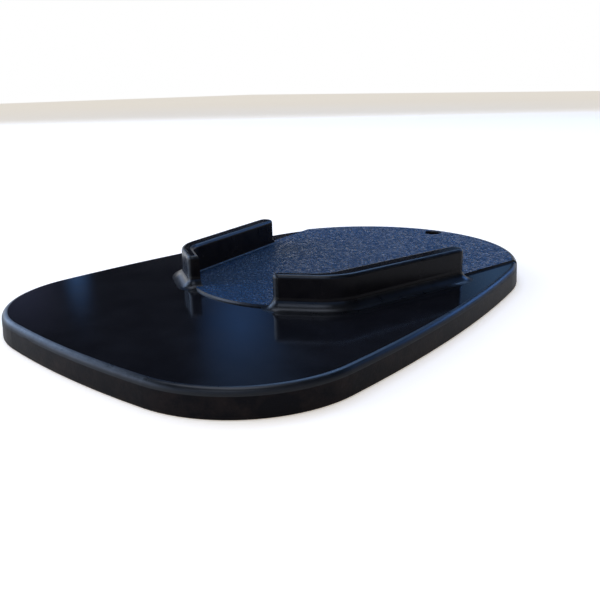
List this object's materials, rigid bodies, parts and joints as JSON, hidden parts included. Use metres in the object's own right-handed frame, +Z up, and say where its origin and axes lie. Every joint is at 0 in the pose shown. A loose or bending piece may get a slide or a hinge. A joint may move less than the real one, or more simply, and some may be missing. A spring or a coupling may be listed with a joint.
{
  "type": "kickstand pad",
  "caption": "Flat moulded pad for under a motorcycle's side stand, with hooked rails that hold the stand's foot on a grained land and a cord hole at the narrow end.",
  "frame": {"origin": "middle of the pad's box on the underside", "axes": "+Z up from the ground, +Y toward the narrow end with the cord hole, +X to the right seen from the wide end"},
  "size_m": [0.096, 0.14, 0.0135],
  "materials": {
    "pad_plastic": "glossy black moulding with a fine matte grain on the land between the rails"
  },
  "bodies": {
    "root": {"kickstand_pad": "pad_plastic"}
  },
  "joints": []
}
